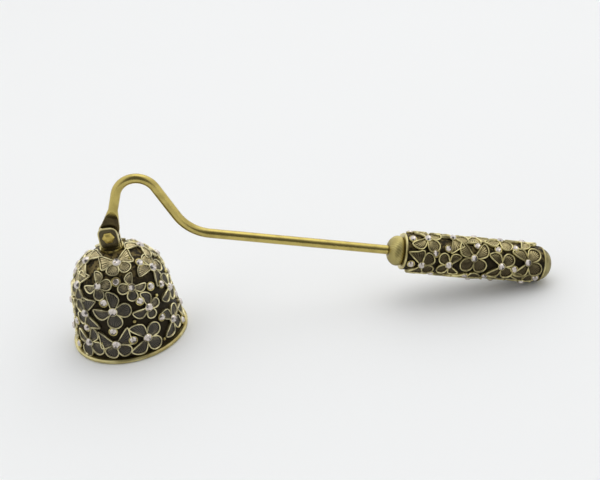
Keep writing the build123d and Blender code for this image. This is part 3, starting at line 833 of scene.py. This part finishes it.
# Butterflies on the handle: turn from the top, distance along the sleeve, spin, wing lengths, style
handle_row = [
    (98, 5.2, 5, 6.4, 5.2, "pointed"), (15, 6.9, -12, 6.4, 5.6, "round"),
    (192, 5.6, 80, 5.6, 5.2, "round"), (282, 5.6, 60, 6.2, 5.2, "pointed"),
    (90, 14.6, 180, 5.2, 4.8, "round"), (0, 16.2, 35, 6.6, 5.6, "pointed"),
    (184, 14.6, 5, 6.2, 5.2, "pointed"), (274, 14.6, 60, 6.2, 5.2, "round"),
    (64, 23.2, -90, 6.8, 5.8, "round"), (152, 24.0, 35, 6.2, 5.2, "pointed"),
    (247, 24.0, -20, 6.2, 5.2, "round"), (334, 24.8, 5, 6.6, 5.6, "pointed"),
    (80, 33.4, 0, 6.0, 5.4, "round"), (172, 33.2, 60, 6.0, 5.2, "round"),
    (262, 33.4, 35, 6.2, 5.2, "pointed"), (348, 33.8, -20, 6.6, 5.6, "round"),
    (62, 42.8, 8, 6.6, 6.0, "round"), (136, 42.8, 5, 6.0, 5.2, "round"),
    (244, 42.6, 60, 5.4, 4.8, "pointed"), (334, 42.6, 35, 6.0, 5.2, "round"),
]
# Stones in cups between them: turn from the top and distance along the sleeve
handle_cups = [
    (19, 1.6), (99, 1.5), (42, 14.1), (130, 21.8), (24, 24.6), (30, 32.0), (86, 38.2), (140, 9.8),
    (230, 9.8), (320, 10.2), (225, 19.2), (300, 19.2), (122, 28.8), (210, 28.6), (300, 28.8),
    (206, 38.0), (296, 38.0), (20, 38.4), (60, 9.6), (236, 1.8), (330, 1.8), (110, 46.8),
    (290, 47.0),
]
# The wire is lower under the end that lies on the table
HANDLE_WIRE = 1.15
RESTING_WIRE = 0.70
RESTING_FROM = 28
RESTING_TURNS = (110, 260)
wings = Cast()
handle_stones = Cast()
for turn, along, spin, fore, hind, style in handle_row:
    lay = on_sleeve(turn, along)
    resting = along > RESTING_FROM and RESTING_TURNS[0] < turn < RESTING_TURNS[1]
    wire = RESTING_WIRE if resting else HANDLE_WIRE
    butterfly(wings, lay, spin, (fore, hind), style, wire, SMALL_BOSS)
    stone(handle_stones, lay, SMALL_BOSS * STONE_SHARE, base=0.72, top=1.6, spin=turn)
wings.piece(
    "handle_butterflies_cast", "handle", "butterfly_brass", brass_handle_wing, ["handle_butterflies"]
)
handle_stones.piece("handle_stones_cut", "handle", "clear_stone", foil, ["handle_butterfly_stones"])
set_small_stones("handle", on_sleeve, handle_cups, (1.4, 0.72), (1.12, 0.46, 1.18), spins=1)

# Floor of pale paper
FLOOR_HALF = 3
floor_corners = [(x * FLOOR_HALF, y * FLOOR_HALF, 0) for x, y in ((-1, -1), (1, -1), (1, 1), (-1, 1))]
floor_mesh = bpy.data.meshes.new("floor")
floor_mesh.from_pydata(floor_corners, [], [(0, 1, 2, 3)])
floor = bpy.data.objects.new("floor", floor_mesh)
bpy.context.scene.collection.objects.link(floor)
paper, tree, shader, coordinates = new_material("paper")
shade = noise_node(tree, coordinates, scale=3, detail=2)
paper_tone = mix_node(tree, "RGBA", shade, (0.89, 0.895, 0.89, 1), (0.91, 0.915, 0.91, 1))
tree.links.new(paper_tone, shader.inputs["Base Color"])
shader.inputs["Roughness"].default_value = 0.7
floor_mesh.materials.append(paper)

# Soft lamp above and behind the snuffer
LAMP_PLACE = Vector((0.20, 0.25, 0.85))
LAMP_TARGET = Vector((0.06, 0, 0.02))
lamp_data = bpy.data.lights.new("top_soft", "AREA")
lamp_data.shape = "DISK"
lamp_data.size = 0.6
lamp_data.energy = 0.35
lamp_data.color = (1.0, 0.99, 0.97)
lamp = bpy.data.objects.new("top_soft", lamp_data)
lamp.location = LAMP_PLACE
lamp.rotation_euler = (LAMP_TARGET - LAMP_PLACE).to_track_quat("-Z", "Y").to_euler()
bpy.context.scene.collection.objects.link(lamp)

# Studio: pale walls, a brighter patch of ceiling behind the snuffer, and a dim part on the
# photographer's side that reaches up overhead
CEILING_AXIS = (0.12, 0.55, 0.82)
CEILING_LIGHT = 0.45
WALL_LIGHT = 1.02
DIM_LIGHT = 0.16
DIM_AXIS = (0.0, -1.0, 0.5)
DIM_NARROWING = 0.55
world = bpy.data.worlds.new("studio")
bpy.context.scene.world = world
world.use_nodes = True
tree = world.node_tree
background = tree.nodes["Background"]
direction = tree.nodes.new("ShaderNodeTexCoord").outputs["Generated"]


def towards(axis):
    """How far the studio's direction goes along an axis."""
    node = tree.nodes.new("ShaderNodeVectorMath")
    node.operation = "DOT_PRODUCT"
    node.inputs[1].default_value = axis
    tree.links.new(direction, node.inputs[0])
    return node.outputs["Value"]


ceiling = range_node(tree, towards(CEILING_AXIS), 0.62, 0.95, 0.0, CEILING_LIGHT)
aside = math_node(tree, "ABSOLUTE", towards((1.0, 0.0, 0.0)))
narrowing = math_node(tree, "MULTIPLY", aside, DIM_NARROWING)
facing = math_node(tree, "SUBTRACT", towards(DIM_AXIS), narrowing)
walls = range_node(tree, facing, 0.36, 0.78, WALL_LIGHT, DIM_LIGHT)
tree.links.new(math_node(tree, "ADD", ceiling, walls), background.inputs["Strength"])
background.inputs["Color"].default_value = (0.985, 0.99, 1.0, 1)

# Camera at the photograph's place, in millimetres, with its directions to the right and ahead
CAMERA_PLACE = (56.18, -238.5, 160.03)
CAMERA_RIGHT = (0.992, -0.08164, -0.09626)
CAMERA_AHEAD = (0.02486, 0.8741, -0.48512)
camera_data = bpy.data.cameras.new("camera")
camera_data.sensor_width = 36.0
camera_data.sensor_fit = "HORIZONTAL"
camera_data.lens = 48.0
camera = bpy.data.objects.new("camera", camera_data)
ahead = Vector(CAMERA_AHEAD).normalized()
right = Vector(CAMERA_RIGHT).normalized()
right = (right - ahead * right.dot(ahead)).normalized()
pose = Matrix((right, right.cross(ahead), -ahead)).transposed().to_4x4()
pose.translation = Vector(CAMERA_PLACE) * MM
camera.matrix_world = pose
bpy.context.scene.collection.objects.link(camera)
bpy.context.scene.camera = camera
bpy.context.scene.view_settings.view_transform = "Standard"
